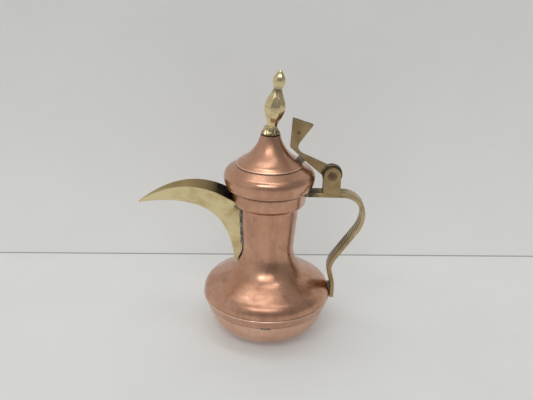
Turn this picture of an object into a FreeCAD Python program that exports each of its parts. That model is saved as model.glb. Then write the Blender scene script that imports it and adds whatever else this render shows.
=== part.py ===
import FreeCAD, Part
import math
import os
import re

import Sketcher

# A small hinged-lid coffee pot. Z is up, the origin is the centre of the flat base, the spout
# points along -X and the handle along +X. Lengths are millimetres, angles are degrees.

SIZES = {
    # Lower bowl and the cover strip round the belly joint
    "base_flat": 21.6,
    "seam_inset": 3.6,
    "seam_height": 25.6,
    "bowl_sheet": 1.2,
    "band_height": 7.9,
    "band_lean": 18.5,
    "band_sheet": 0.85,
    # Shoulder and neck
    "belly_radius": 52.2,
    "belly_rise": 1.35,
    "shoulder_round": 11.55,
    "groove_angle": 4.2,
    "shoulder_sweep": 59.5,
    "neck_radius": 20.95,
    "neck_round": 25.7,
    "neck_flare": 5.2,
    "body_sheet": 1.0,
    "pot_height": 126.9,
    # Pour holes through the neck behind the spout
    "pour_hole_radius": 2.1,
    "pour_hole_spacing": 6.0,
    "pour_hole_offset": 2.9,
    "pour_hole_lowest": 82.0,
    # Collar round the mouth
    "collar_radius": 29.3,
    "collar_low": 111.5,
    "collar_edge": 115.2,
    "collar_under_round": 6.0,
    "collar_sheet": 1.0,
    # Spout
    "spout_reach": 104.0,
    "spout_tip_height": 110.0,
    "spout_foot_reach": 26.6,
    "spout_foot_height": 57.5,
    "keel_spread": 4.1,
    "keel_rise": 38.5,
    "keel_turn_reach": 45.2,
    "keel_turn_height": 120.3,
    "spout_root_reach": 23.2,
    "spout_root_height": 114.3,
    "rim_near_reach": 52.7,
    "rim_near_height": 134.1,
    "rim_far_reach": 78.5,
    "rim_far_height": 130.0,
    "spout_foot_half": 2.2,
    "spout_mouth_half": 12.6,
    "spout_tip_half": 1.7,
    "spout_sheet": 1.0,
    # Handle strap
    "strap_width": 12.5,
    "strap_thick": 3.6,
    "strap_soft": 0.8,
    "handle_plate_height": 121.8,
    "handle_top_spread": 21.4,
    "handle_back_spread": 24.0,
    "handle_back_height": 98.5,
    "handle_waist_inset": 2.9,
    "handle_waist_height": 58.5,
    "handle_knee_height": 44.0,
    "handle_foot_height": 30.6,
    "foot_gap": 0.3,
    "foot_solder_top": 40.4,
    "bend_top": 16.0,
    "bend_back": 24.0,
    "bend_waist": 18.0,
    "bend_knee": 20.0,
    # Hinge
    "pin_reach": 49.2,
    "pin_height": 138.0,
    "pin_radius": 2.1,
    "pin_dome": 0.4,
    "pin_fit": 0.02,
    "knuckle_fit": 0.05,
    "ear_radius": 6.7,
    "ear_thick": 3.6,
    "ear_dish_radius": 3.8,
    "ear_dish_depth": 0.35,
    "side_play": 0.3,
    # Lid
    "lid_lift": 0.3,
    "lid_lip": 1.2,
    "lid_edge_radius": 34.1,
    "lid_radius": 36.0,
    "lid_widest": 135.2,
    "lid_lower_round": 14.0,
    "lid_upper_round": 7.5,
    "lid_slope": 30.0,
    "lid_sheet": 1.0,
    "bell_radius": 26.4,
    "bell_edge": 1.5,
    "bell_soft": 0.9,
    "bell_lap": 3.6,
    "bell_round": 31.0,
    "bell_top_radius": 7.7,
    "bell_top_height": 169.3,
    "plug_gap": 1.7,
    "plug_depth": 6.0,
    "plug_sheet": 1.0,
    # Finial
    "finial_lean": 7.3,
    "finial_height": 49.9,
    "finial_tip_radius": 0.7,
    "finial_bud_height": 42.1,
    "finial_bud_radius": 5.2,
    "finial_neck_height": 35.9,
    "finial_neck_radius": 3.3,
    "finial_bulge_height": 21.4,
    "finial_bulge_radius": 8.7,
    "finial_stem_height": 8.4,
    "finial_stem_radius": 4.3,
    "finial_foot_radius": 7.1,
    "finial_foot_edge": 1.2,
    "finial_foot_round": 9.0,
    "finial_foot_height": 6.6,
    "foot_lip": 0.5,
    "tang_radius": 1.8,
    "tang_fit": 0.05,
    "washer_radius": 5.0,
    "washer_thick": 1.2,
    "peen_radius": 2.7,
    "peen_thick": 0.9,
    # Lid arm and thumb lift
    "knuckle_radius": 8.0,
    "lift_left": 15.4,
    "lift_low": 160.0,
    "lift_top": 182.7,
    "lift_wide": 32.7,
    "lift_lean": 1.2,
    "lift_drop": 5.1,
    "arm_bend_reach": 18.2,
    "arm_bend_height": 157.3,
    "arm_bend_round": 6.7,
    "knuckle_top": 115.0,
    "knuckle_low": -177.0,
    "arm_rest_reach": 27.4,
    "arm_rest_height": 148.9,
    "arm_pad_length": 5.4,
}

doc = FreeCAD.newDocument("dallah")
sheet = doc.addObject("Spreadsheet::Sheet", "Sizes")
for row, (alias, number) in enumerate(SIZES.items(), start=1):
    sheet.set(f"A{row}", alias.replace("_", " "))
    sheet.set(f"B{row}", str(number))
    sheet.setAlias(f"B{row}", alias)
doc.recompute()

Vector = FreeCAD.Vector
ALONG_Y = FreeCAD.Rotation(Vector(1, 0, 0), 90)
UPRIGHT = FreeCAD.Placement(Vector(), ALONG_Y)


def bound(formula):
    # The formula with each size name pointing at its cell
    def cell(match):
        word = match.group(0)
        return f"Sizes.{word}" if word in SIZES else word
    return re.sub(r"[a-z_]+", cell, str(formula))


def value(formula):
    return float(sheet.evalExpression(bound(formula)))


def bind(item, prop, formula):
    item.setExpression(prop, bound(formula))


def pin_down(sketch, geometry, end, axis, formula):
    # Ties one coordinate of a sketch point to a formula
    number = value(formula)
    kind = "DistanceX" if axis == 0 else "DistanceY"
    if str(formula) == "0":
        line = -2 if axis == 0 else -1
        sketch.addConstraint(Sketcher.Constraint("PointOnObject", geometry, end, line))
    elif number < 0:
        index = sketch.addConstraint(Sketcher.Constraint(kind, geometry, end, -1, 1, -number))
        sketch.setExpression(f"Constraints[{index}]", f"-({bound(formula)})")
    else:
        index = sketch.addConstraint(Sketcher.Constraint(kind, -1, 1, geometry, end, number))
        sketch.setExpression(f"Constraints[{index}]", bound(formula))


def draw(sketch, corners, closed=False):
    # Each corner is (across, up) or (across, up, radius, side): the last two bend the run that
    # leaves the corner into an arc, with its centre on the left (1) or right (-1) of the way there
    spots = [Vector(value(corner[0]), value(corner[1]), 0) for corner in corners]
    runs = len(corners) if closed else len(corners) - 1
    ends = []
    for index in range(runs):
        start, finish = spots[index], spots[(index + 1) % len(spots)]
        corner = corners[index]
        if len(corner) == 2:
            geometry = sketch.addGeometry(Part.LineSegment(start, finish))
            ends.append((geometry, 1, 2))
            continue
        radius, side = value(corner[2]), corner[3]
        chord = finish - start
        across = Vector(-chord.y, chord.x, 0).normalize() * side
        centre = (start + finish) * 0.5 + across * math.sqrt(radius ** 2 - chord.Length ** 2 / 4)
        first, last = (start, finish) if side > 0 else (finish, start)
        from_angle = math.atan2(first.y - centre.y, first.x - centre.x)
        to_angle = math.atan2(last.y - centre.y, last.x - centre.x)
        circle = Part.Circle(centre, Vector(0, 0, 1), radius)
        geometry = sketch.addGeometry(Part.ArcOfCircle(circle, from_angle, to_angle))
        ends.append((geometry, 1, 2) if side > 0 else (geometry, 2, 1))
        fixed = sketch.addConstraint(Sketcher.Constraint("Radius", geometry, radius))
        sketch.setExpression(f"Constraints[{fixed}]", bound(corner[2]))
    for index, (geometry, begin, end) in enumerate(ends):
        pin_down(sketch, geometry, begin, 0, corners[index][0])
        pin_down(sketch, geometry, begin, 1, corners[index][1])
        if index + 1 < runs or closed:
            following = ends[(index + 1) % runs]
            joint = Sketcher.Constraint("Coincident", geometry, end, following[0], following[1])
            sketch.addConstraint(joint)
    if not closed:
        geometry, begin, end = ends[-1]
        pin_down(sketch, geometry, end, 0, corners[-1][0])
        pin_down(sketch, geometry, end, 1, corners[-1][1])


def profile(name, corners, closed):
    # A half section drawn in the XZ plane
    sketch = doc.addObject("Sketcher::SketchObject", f"{name}_profile")
    sketch.Placement = UPRIGHT
    draw(sketch, corners, closed)
    return sketch


def turned(name, source):
    item = doc.addObject("Part::Revolution", name)
    item.Source = source
    item.Axis = Vector(0, 0, 1)
    item.Angle = 360
    item.Solid = True
    return item


def turned_sheet(name, corners, thickness):
    # A spun sheet: the outer half section thickened to one side, then turned about Z
    wall = doc.addObject("Part::Offset2D", f"{name}_wall")
    wall.Source = profile(name, corners, closed=False)
    bind(wall, "Value", thickness)
    wall.Mode = "Skin"
    wall.Join = "Intersection"
    wall.Fill = True
    return turned(name, wall)


def turned_solid(name, corners):
    # A closed half section turned about Z
    return turned(name, profile(name, corners, closed=True))


def cut(name, base, *tools):
    for number, tool in enumerate(tools):
        last = number == len(tools) - 1
        result = doc.addObject("Part::Cut", name if last else f"{name}_step_{number}")
        result.Base = base
        result.Tool = tool
        base = result
    return base


def cylinder(name, radius, height, place, along_y=False):
    item = doc.addObject("Part::Cylinder", name)
    bind(item, "Radius", radius)
    bind(item, "Height", height)
    if along_y:
        item.Placement = UPRIGHT
    for letter, formula in zip("xyz", place):
        bind(item, f"Placement.Base.{letter}", formula)
    return item


def plane(body, role):
    return [feature for feature in body.Origin.OriginFeatures if feature.Role == role][0]


def body_sketch(body, name, role, corners, closed=True):
    sketch = body.newObject("Sketcher::SketchObject", name)
    sketch.AttachmentSupport = [(plane(body, role), "")]
    sketch.MapMode = "FlatFace"
    draw(sketch, corners, closed)
    return sketch


def pad(body, name, corners, width):
    feature = body.newObject("PartDesign::Pad", name)
    feature.Profile = body_sketch(body, f"{name}_outline", "XZ_Plane", corners)
    bind(feature, "Length", width)
    feature.Midplane = True
    return feature


# Heights and radii that several pieces share
SEAM_RADIUS = "(belly_radius - seam_inset)"
BAND_TOP = "(seam_height + band_height)"
BAND_TOP_RADIUS = f"({SEAM_RADIUS} + band_height * tan(band_lean))"
JOINT_HEIGHT = "(seam_height + band_height / 2)"
JOINT_RADIUS = f"({SEAM_RADIUS} + band_height / 2 * tan(band_lean))"
BELLY_HEIGHT = f"({BAND_TOP} + belly_rise)"
SHOULDER_CORE = "(belly_radius - shoulder_round)"
SHOULDER_END = f"({SHOULDER_CORE} + shoulder_round * cos(shoulder_sweep))"
SHOULDER_TOP = f"({BELLY_HEIGHT} + shoulder_round * sin(shoulder_sweep))"
SLOPE_RUN = (f"(({SHOULDER_END} + neck_round * cos(shoulder_sweep)"
             " - neck_round * cos(neck_flare) - neck_radius) / sin(shoulder_sweep))")
SLOPE_END = f"({SHOULDER_END} - {SLOPE_RUN} * sin(shoulder_sweep))"
SLOPE_TOP = f"({SHOULDER_TOP} + {SLOPE_RUN} * cos(shoulder_sweep))"
NECK_START = f"({SLOPE_TOP} + neck_round * (sin(shoulder_sweep) + sin(neck_flare)))"


def neck_outer(height):
    return f"(neck_radius + ({height} - {NECK_START}) * tan(neck_flare))"


body_corners = [
    (JOINT_RADIUS, JOINT_HEIGHT),
    (BAND_TOP_RADIUS, BAND_TOP),
    (f"{SHOULDER_CORE} + shoulder_round * cos(groove_angle)",
     f"{BELLY_HEIGHT} - shoulder_round * sin(groove_angle)", "shoulder_round", 1),
    (SHOULDER_END, SHOULDER_TOP),
    (SLOPE_END, SLOPE_TOP, "neck_round", -1),
    ("neck_radius", NECK_START),
    (neck_outer("pot_height"), "pot_height"),
]
body_form = turned_solid("body_form", [("0", JOINT_HEIGHT)] + body_corners + [("0", "pot_height")])

# Lower bowl: flat base, round wall and the upright lip under the cover strip
BOWL_RISE = "seam_height"
BOWL_SPREAD = f"({SEAM_RADIUS} - base_flat)"
BOWL_ROUND = f"(({BOWL_SPREAD}^2 + {BOWL_RISE}^2) / (2 * {BOWL_RISE}))"
bowl_corners = [
    ("0", "0"),
    ("base_flat", "0", BOWL_ROUND, 1),
    (SEAM_RADIUS, "seam_height"),
    (JOINT_RADIUS, JOINT_HEIGHT),
]
lower_bowl = turned_sheet("lower_bowl", bowl_corners, "bowl_sheet")

# Upper body: shoulder and neck in one sheet, pierced behind the spout
neck_sheet = turned_sheet("neck_sheet", body_corners, "body_sheet")
POUR_ROWS = 5
pour_holes = []
for row in range(POUR_ROWS):
    for side in (-1, 1):
        place = ("-neck_radius * 2", f"{side} * pour_hole_offset",
                 f"pour_hole_lowest + {row} * pour_hole_spacing")
        hole = cylinder(f"pour_hole_{row}_{side + 1}", "pour_hole_radius", "neck_radius * 2", place)
        hole.Placement = FreeCAD.Placement(Vector(), FreeCAD.Rotation(Vector(0, 1, 0), 90))
        pour_holes.append(hole)
upper_body = cut("upper_body", neck_sheet, *pour_holes)

# Cover strip over the joint of bowl and shoulder
BAND_OUT = "(band_sheet / cos(band_lean))"
band_corners = [
    (SEAM_RADIUS, "seam_height"),
    (f"{SEAM_RADIUS} + {BAND_OUT}", "seam_height"),
    (f"{BAND_TOP_RADIUS} + {BAND_OUT}", BAND_TOP),
    (BAND_TOP_RADIUS, BAND_TOP),
]
belly_band = turned_solid("belly_band", band_corners)

# Collar: a hollow spun ring round the mouth, closed against the neck at both ends
collar_corners = [
    (neck_outer("collar_low"), "collar_low", "collar_under_round", 1),
    ("collar_radius", "collar_edge"),
    ("collar_radius", "pot_height"),
    (neck_outer("pot_height"), "pot_height"),
]
collar_sheet = turned_sheet("collar_sheet", collar_corners, "collar_sheet")
mouth_collar = cut("mouth_collar", collar_sheet, body_form)
collar_form = turned_solid(
    "collar_form", [("0", "collar_low")] + collar_corners + [("0", "pot_height")])

# Spout: one folded sheet, drawn as rounded troughs strung along a keel line and an open edge line
SPOUT_STATIONS = 9
ROOT_SHARE = 0.45
WIDTH_POWER = 1.8


def bezier(poles, share):
    rest = 1 - share
    weights = (rest ** 3, 3 * share * rest ** 2, 3 * share ** 2 * rest, share ** 3)
    return sum((pole * weight for pole, weight in zip(poles, weights)), Vector())


def side_point(reach, height):
    return Vector(-value(reach), 0, value(height))


keel_poles = [
    side_point("spout_foot_reach", "spout_foot_height"),
    side_point("spout_foot_reach + keel_spread", "spout_foot_height + keel_rise"),
    side_point("keel_turn_reach", "keel_turn_height"),
    side_point("spout_reach", "spout_tip_height"),
]
rim_poles = [
    side_point("spout_root_reach", "spout_root_height"),
    side_point("rim_near_reach", "rim_near_height"),
    side_point("rim_far_reach", "rim_far_height"),
    side_point("spout_reach", "spout_tip_height + spout_sheet"),
]
root_poles = [
    side_point("spout_foot_reach - spout_sheet", "spout_foot_height + spout_sheet"),
    side_point("neck_radius - 4 * spout_sheet", "pour_hole_lowest"),
    side_point("neck_radius - 4 * spout_sheet", "collar_low"),
    rim_poles[0],
]


def trough(share):
    keel = bezier(keel_poles, share)
    if share < ROOT_SHARE:
        along = share / ROOT_SHARE
        edge = bezier(root_poles, along)
        half = value("spout_foot_half") + value("spout_mouth_half - spout_foot_half") * along
    else:
        along = (share - ROOT_SHARE) / (1 - ROOT_SHARE)
        edge = bezier(rim_poles, along)
        taper = value("spout_mouth_half - spout_tip_half") * along ** WIDTH_POWER
        half = value("spout_mouth_half") - taper
    wall = value("spout_sheet")
    inward = (edge - keel).normalize() * wall
    lines = []
    for half_width, floor in ((half, keel), (half - wall, keel + inward)):
        reach = Vector(0, half_width, 0)
        curve = Part.BezierCurve()
        curve.setPoles([edge - reach, floor * 2 - edge, edge + reach])
        lines.append((curve.toShape(), edge - reach, edge + reach))
    outer, near, far = lines[0]
    inner, near_inside, far_inside = lines[1]
    rims = [Part.makeLine(far, far_inside), Part.makeLine(near_inside, near)]
    return Part.Wire(Part.__sortEdges__([outer, rims[0], inner, rims[1]]))


spout_sheet = doc.addObject("Part::Feature", "spout_sheet")
shares = [station / (SPOUT_STATIONS - 1) for station in range(SPOUT_STATIONS)]
spout_sheet.Shape = Part.makeLoft([trough(share) for share in shares], True, False)
spout = cut("spout", spout_sheet, body_form, collar_form)


# Handle: a bent strap with a fork of two ears for the lid hinge, one casting
def bent(corners):
    # Corners of a run as (across, up, bend radius); the ends have no bend. The result has each
    # bend as an arc that touches both runs
    drawn = [corners[0][:2]]
    for before, here, after in zip(corners, corners[1:], corners[2:]):
        legs = []
        for other in (before, after):
            across, up = f"({other[0]} - ({here[0]}))", f"({other[1]} - ({here[1]}))"
            length = f"sqrt({across}^2 + {up}^2)"
            legs.append((f"({across} / {length})", f"({up} / {length})"))
        cosine = f"({legs[0][0]} * {legs[1][0]} + {legs[0][1]} * {legs[1][1]})"
        trim = f"({here[2]} / tan(acos({cosine}) / 2))"
        touch = [(f"{here[0]} + {trim} * {leg[0]}", f"{here[1]} + {trim} * {leg[1]}") for leg in legs]
        turn = value(f"{legs[0][1]} * {legs[1][0]} - {legs[0][0]} * {legs[1][1]}")
        drawn.append(touch[0] + (here[2], 1 if turn > 0 else -1))
        drawn.append(touch[1])
    drawn.append(corners[-1][:2])
    return drawn


STRAP_FOOT = "(belly_radius + foot_gap + strap_thick / 2)"
PLATE_TOP = "(handle_plate_height + strap_thick / 2)"
SLOT = "(strap_width - 2 * ear_thick)"
strap_run = bent([
    ("collar_radius - strap_thick", "handle_plate_height"),
    ("belly_radius + handle_top_spread", "handle_plate_height", "bend_top"),
    ("belly_radius + handle_back_spread", "handle_back_height", "bend_back"),
    ("belly_radius - handle_waist_inset", "handle_waist_height", "bend_waist"),
    (STRAP_FOOT, "handle_knee_height", "bend_knee"),
    (STRAP_FOOT, "handle_foot_height"),
])
handle_body = doc.addObject("PartDesign::Body", "handle_body")
run_sketch = body_sketch(handle_body, "strap_run", "XZ_Plane", strap_run, closed=False)
section_corners = [
    ("-strap_width / 2", "handle_plate_height - strap_thick / 2"),
    ("strap_width / 2", "handle_plate_height - strap_thick / 2"),
    ("strap_width / 2", PLATE_TOP),
    ("-strap_width / 2", PLATE_TOP),
]
section_sketch = body_sketch(handle_body, "strap_section", "YZ_Plane", section_corners)
bind(section_sketch, "AttachmentOffset.Base.z", "collar_radius - strap_thick")
strap = handle_body.newObject("PartDesign::AdditivePipe", "strap")
strap.Profile = section_sketch
strap.Spine = run_sketch
doc.recompute()


def runs_along(edge):
    # Long edges of the strap: on one side face, and not the short edges across its thickness
    first, last = edge.Vertexes[0].Y, edge.Vertexes[-1].Y
    one_side = abs(first - last) < value("strap_soft")
    return one_side and edge.Length - value("strap_thick") > value("strap_soft") / 10


soft = handle_body.newObject("PartDesign::Fillet", "strap_edges")
long_edges = [number for number, edge in enumerate(strap.Shape.Edges, start=1) if runs_along(edge)]
soft.Base = (strap, [f"Edge{number}" for number in long_edges])
bind(soft, "Radius", "strap_soft")
ear_corners = [
    ("pin_reach - ear_radius", "handle_plate_height"),
    ("pin_reach + ear_radius", "handle_plate_height"),
    ("pin_reach + ear_radius", "pin_height", "ear_radius", 1),
    ("pin_reach", "pin_height + ear_radius", "ear_radius", 1),
    ("pin_reach - ear_radius", "pin_height"),
]
pad(handle_body, "ears", ear_corners, "strap_width")
slot_corners = [
    ("pin_reach - knuckle_radius", PLATE_TOP),
    ("pin_reach + knuckle_radius", PLATE_TOP),
    ("pin_reach + knuckle_radius", "pin_height + knuckle_radius"),
    ("pin_reach - knuckle_radius", "pin_height + knuckle_radius"),
]
slot = handle_body.newObject("PartDesign::Pocket", "ear_slot")
slot.Profile = body_sketch(handle_body, "ear_slot_outline", "XZ_Plane", slot_corners)
bind(slot, "Length", SLOT)
slot.Midplane = True
HINGE = ("pin_reach", "pin_height")


def across_hinge(name, radius, length, near_face):
    # A cylinder along the hinge line, its near end at the given distance from the middle plane
    return cylinder(name, radius, length, (HINGE[0], near_face, HINGE[1]), along_y=True)


ear_bore = across_hinge("ear_bore", "pin_radius + pin_fit", "2 * strap_width", "strap_width")
dish = ("ear_dish_radius", "ear_dish_depth")
near_dish = across_hinge("near_dish", *dish, "ear_dish_depth - strap_width / 2")
far_dish = across_hinge("far_dish", *dish, "strap_width / 2")
handle = cut("handle", handle_body, ear_bore, near_dish, far_dish, collar_form)

# Solder wedge between the shoulder and the foot of the strap
foot_block = doc.addObject("Part::Box", "foot_block")
bind(foot_block, "Length", f"belly_radius + foot_gap - {SHOULDER_CORE}")
bind(foot_block, "Width", "strap_width - 4 * strap_soft")
bind(foot_block, "Height", f"foot_solder_top - {BAND_TOP}")
bind(foot_block, "Placement.Base.x", SHOULDER_CORE)
bind(foot_block, "Placement.Base.y", "2 * strap_soft - strap_width / 2")
bind(foot_block, "Placement.Base.z", BAND_TOP)
handle_foot_solder = cut("handle_foot_solder", foot_block, body_form, handle_body)

# Hinge pin: flush with the outer faces of the ears, its ends rounded over
pin_body = doc.addObject("PartDesign::Body", "hinge_pin")
pin_rod = pin_body.newObject("PartDesign::AdditiveCylinder", "pin_rod")
pin_rod.AttachmentSupport = [(plane(pin_body, "XZ_Plane"), "")]
pin_rod.MapMode = "FlatFace"
bind(pin_rod, "Radius", "pin_radius")
bind(pin_rod, "Height", "strap_width")
bind(pin_rod, "AttachmentOffset.Base.x", "pin_reach")
bind(pin_rod, "AttachmentOffset.Base.y", "pin_height")
bind(pin_rod, "AttachmentOffset.Base.z", "-strap_width / 2")
doc.recompute()
rims = [f"Edge{number}" for number, edge in enumerate(pin_rod.Shape.Edges, start=1) if edge.Closed]
pin_ends = pin_body.newObject("PartDesign::Fillet", "pin_ends")
pin_ends.Base = (pin_rod, rims)
bind(pin_ends, "Radius", "pin_dome")

# Lid, lower tier: an upright lip, a swelling side and a slope that runs in under the upper tier
LID_EDGE = "(pot_height + lid_lift)"
LID_BROW = "(lid_radius - lid_upper_round * (1 - sin(lid_slope)))"
LID_BROW_HEIGHT = "(lid_widest + lid_upper_round * cos(lid_slope))"


def slope_height(radius):
    return f"({LID_BROW_HEIGHT} + ({LID_BROW} - ({radius})) * tan(lid_slope))"


ring_corners = [
    ("lid_edge_radius", LID_EDGE),
    ("lid_edge_radius", f"{LID_EDGE} + lid_lip", "lid_lower_round", 1),
    ("lid_radius", "lid_widest", "lid_upper_round", 1),
    (LID_BROW, LID_BROW_HEIGHT),
    ("bell_radius - bell_lap", slope_height("bell_radius - bell_lap")),
]
lid_ring = turned_sheet("lid_ring", ring_corners, "lid_sheet")

# Lid, upper tier: a bell with an upright edge that sits on the slope of the lower tier
BELL_STEP = f"({slope_height('bell_radius')} + bell_edge)"
bell_corners = [
    ("bell_radius", f"{slope_height('bell_radius')} - lid_sheet / 4"),
    ("bell_radius", BELL_STEP),
    ("bell_radius - bell_soft", f"{BELL_STEP} + bell_soft", "bell_round", -1),
    ("bell_top_radius", "bell_top_height"),
    ("tang_radius + tang_fit", "bell_top_height"),
]
bell_sheet = turned_sheet("bell_sheet", bell_corners, "lid_sheet")
lid_bell = cut("lid_bell", bell_sheet, lid_ring)
bell_form = turned_solid("bell_form", [("0", LID_EDGE), ("bell_radius", LID_EDGE)] + bell_corners[1:-1]
                         + [("0", "bell_top_height")])

# Flange inside the lip of the lid, with a short tube that centres the lid in the mouth
PLUG_OUT = f"({neck_outer('pot_height')} - body_sheet / cos(neck_flare) - plug_gap)"
flange_corners = [
    (f"{PLUG_OUT} - plug_sheet", f"{LID_EDGE} - plug_depth"),
    (PLUG_OUT, f"{LID_EDGE} - plug_depth"),
    (PLUG_OUT, LID_EDGE),
    ("lid_edge_radius - lid_sheet", LID_EDGE),
    ("lid_edge_radius - lid_sheet", f"{LID_EDGE} + plug_sheet"),
    (f"{PLUG_OUT} - plug_sheet", f"{LID_EDGE} + plug_sheet"),
]
lid_flange = turned_solid("lid_flange", flange_corners)

# Finial: eight-sided sections along a leaning line, on a tang that is peened over under the bell
FINIAL_SIDES = 8
finial_keys = [
    ("finial_foot_height / 4", "finial_stem_radius - foot_lip"),
    ("finial_stem_height", "finial_stem_radius"),
    ("finial_bulge_height", "finial_bulge_radius"),
    ("finial_neck_height", "finial_neck_radius"),
    ("finial_bud_height", "finial_bud_radius"),
    ("finial_height", "finial_tip_radius"),
]
SPAN_STEPS = (1, 4, 4, 2, 1)
finial_sections = [finial_keys[0]]
for start, end, steps in zip(finial_keys, finial_keys[1:], SPAN_STEPS):
    for step in range(1, steps + 1):
        share = step / steps
        swell = (1 - math.cos(math.pi * share)) / 2
        finial_sections.append((f"({start[0]} + ({end[0]} - {start[0]}) * {share})",
                                f"({start[1]} + ({end[1]} - {start[1]}) * {swell})"))
polygons = []
for number, (along, radius) in enumerate(finial_sections):
    polygon = doc.addObject("Part::RegularPolygon", f"finial_section_{number}")
    polygon.Polygon = FINIAL_SIDES
    polygon.Placement.Rotation = FreeCAD.Rotation(Vector(0, 1, 0), value("finial_lean"))
    bind(polygon, "Circumradius", radius)
    bind(polygon, "Placement.Rotation.Angle", "finial_lean")
    bind(polygon, "Placement.Base.x", f"{along} * sin(finial_lean)")
    bind(polygon, "Placement.Base.z", f"bell_top_height + {along} * cos(finial_lean)")
    polygons.append(polygon)
finial_stem = doc.addObject("Part::Loft", "finial_stem")
finial_stem.Sections = polygons
finial_stem.Solid = True
finial_stem.Ruled = True
WASHER_LOW = "(bell_top_height - lid_sheet - washer_thick)"
TANG_LENGTH = f"(bell_top_height + finial_foot_height / 2 - {WASHER_LOW})"
tang = cylinder("tang", "tang_radius", TANG_LENGTH, ("0", "0", WASHER_LOW))
peen = cylinder("peen", "peen_radius", "peen_thick", ("0", "0", f"{WASHER_LOW} - peen_thick"))
finial = doc.addObject("Part::MultiFuse", "finial")
finial.Shapes = [finial_stem, tang, peen]
washer_disc = cylinder("washer_disc", "washer_radius", "washer_thick", ("0", "0", WASHER_LOW))
washer_bore = cylinder("washer_bore", "tang_radius + tang_fit", "washer_thick", ("0", "0", WASHER_LOW))
finial_washer = cut("finial_washer", washer_disc, washer_bore)

# Flared foot round the root of the finial
foot_corners = [
    ("tang_radius + tang_fit", "bell_top_height"),
    ("finial_foot_radius", "bell_top_height"),
    ("finial_foot_radius", "bell_top_height + finial_foot_edge", "finial_foot_round", -1),
    ("finial_stem_radius + foot_lip", "bell_top_height + finial_foot_height"),
    ("tang_radius + tang_fit", "bell_top_height + finial_foot_height"),
]
foot_turned = turned_solid("foot_turned", foot_corners)
finial_foot = cut("finial_foot", foot_turned, finial_stem)


# Lid arm: a flat plate with the thumb lift at one end and the hinge knuckle at the other
def knuckle_point(angle):
    return (f"pin_reach + knuckle_radius * cos({angle})", f"pin_height + knuckle_radius * sin({angle})")


lift_run = bent([
    ("lift_wide", "lift_top - lift_drop"),
    ("arm_bend_reach", "arm_bend_height", "arm_bend_round"),
    knuckle_point("knuckle_top"),
])
arm_corners = [
    ("lift_left", "lift_low"),
    ("lift_left + lift_lean", "lift_top"),
    *lift_run[:-1],
    knuckle_point("knuckle_top") + ("knuckle_radius", -1),
    knuckle_point("(knuckle_top + knuckle_low) / 2") + ("knuckle_radius", -1),
    knuckle_point("knuckle_low"),
    ("arm_rest_reach", "arm_rest_height"),
]
arm_body = doc.addObject("PartDesign::Body", "arm_body")
pad(arm_body, "arm_plate", arm_corners, f"{SLOT} - 2 * side_play")
knuckle_bore = across_hinge("knuckle_bore", "pin_radius + knuckle_fit", "2 * strap_width", "strap_width")
lid_arm = cut("lid_arm", arm_body, knuckle_bore)

# Solder between the low corner of the arm and the edge of the bell
REST_RUN = "sqrt((arm_rest_reach - lift_left)^2 + (lift_low - arm_rest_height)^2)"
REST_BACK = f"(arm_pad_length * (arm_rest_reach - lift_left) / {REST_RUN})"
REST_UP = f"(arm_pad_length * (lift_low - arm_rest_height) / {REST_RUN})"
pad_corners = [
    ("arm_rest_reach", "arm_rest_height"),
    (f"arm_rest_reach - {REST_BACK}", f"arm_rest_height + {REST_UP}"),
    (f"arm_rest_reach - {REST_BACK} - {REST_UP}", f"arm_rest_height + {REST_UP} - {REST_BACK}"),
    (f"arm_rest_reach - {REST_UP}", f"arm_rest_height - {REST_BACK}"),
]
solder_body = doc.addObject("PartDesign::Body", "solder_body")
pad(solder_body, "solder_pad", pad_corners, f"{SLOT} - 2 * side_play")
arm_solder = cut("arm_solder", solder_body, bell_form)

nodes = {
    "lower_bowl": lower_bowl,
    "upper_body": upper_body,
    "belly_band": belly_band,
    "mouth_collar": mouth_collar,
    "spout": spout,
    "handle": handle,
    "handle_foot_solder": handle_foot_solder,
    "hinge_pin": pin_body,
    "lid_ring": lid_ring,
    "lid_bell": lid_bell,
    "lid_flange": lid_flange,
    "finial_foot": finial_foot,
    "finial": finial,
    "finial_washer": finial_washer,
    "lid_arm": lid_arm,
    "arm_solder": arm_solder,
}

doc.recompute()
for name, item in nodes.items():
    item.Label = name
failed = [item.Name for item in doc.Objects if {"Invalid", "Error"} & set(item.State)]
if failed:
    raise RuntimeError(f"not built: {failed}")
for name, item in nodes.items():
    if item.Shape.isNull() or not item.Shape.isValid():
        raise RuntimeError(f"bad shape: {name}")

os.makedirs("parts", exist_ok=True)
for name, item in nodes.items():
    item.Shape.exportStep(f"parts/{name}.step")
    box = item.Shape.BoundBox
    print(name, len(item.Shape.Solids), round(item.Shape.Volume), round(box.XMin, 1), round(box.XMax, 1),
          round(box.ZMin, 1), round(box.ZMax, 1))
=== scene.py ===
import bpy
import bmesh
import math
from mathutils import Matrix, Vector
from mathutils.bvhtree import BVHTree


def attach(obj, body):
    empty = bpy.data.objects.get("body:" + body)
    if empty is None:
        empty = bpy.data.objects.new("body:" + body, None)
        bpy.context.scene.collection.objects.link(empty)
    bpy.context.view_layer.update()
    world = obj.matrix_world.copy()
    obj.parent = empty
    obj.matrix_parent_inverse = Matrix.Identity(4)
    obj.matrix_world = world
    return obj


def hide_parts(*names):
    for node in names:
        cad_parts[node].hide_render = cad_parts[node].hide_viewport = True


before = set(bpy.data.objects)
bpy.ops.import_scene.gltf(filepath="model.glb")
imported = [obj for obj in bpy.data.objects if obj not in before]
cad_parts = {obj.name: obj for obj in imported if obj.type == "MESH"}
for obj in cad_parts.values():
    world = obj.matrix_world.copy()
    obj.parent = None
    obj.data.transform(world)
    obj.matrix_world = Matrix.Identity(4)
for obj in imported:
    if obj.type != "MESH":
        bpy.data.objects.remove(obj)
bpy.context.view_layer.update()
scene = bpy.context.scene
scene.view_settings.view_transform = "Standard"
mm = 0.001


# Shader helpers

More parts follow.
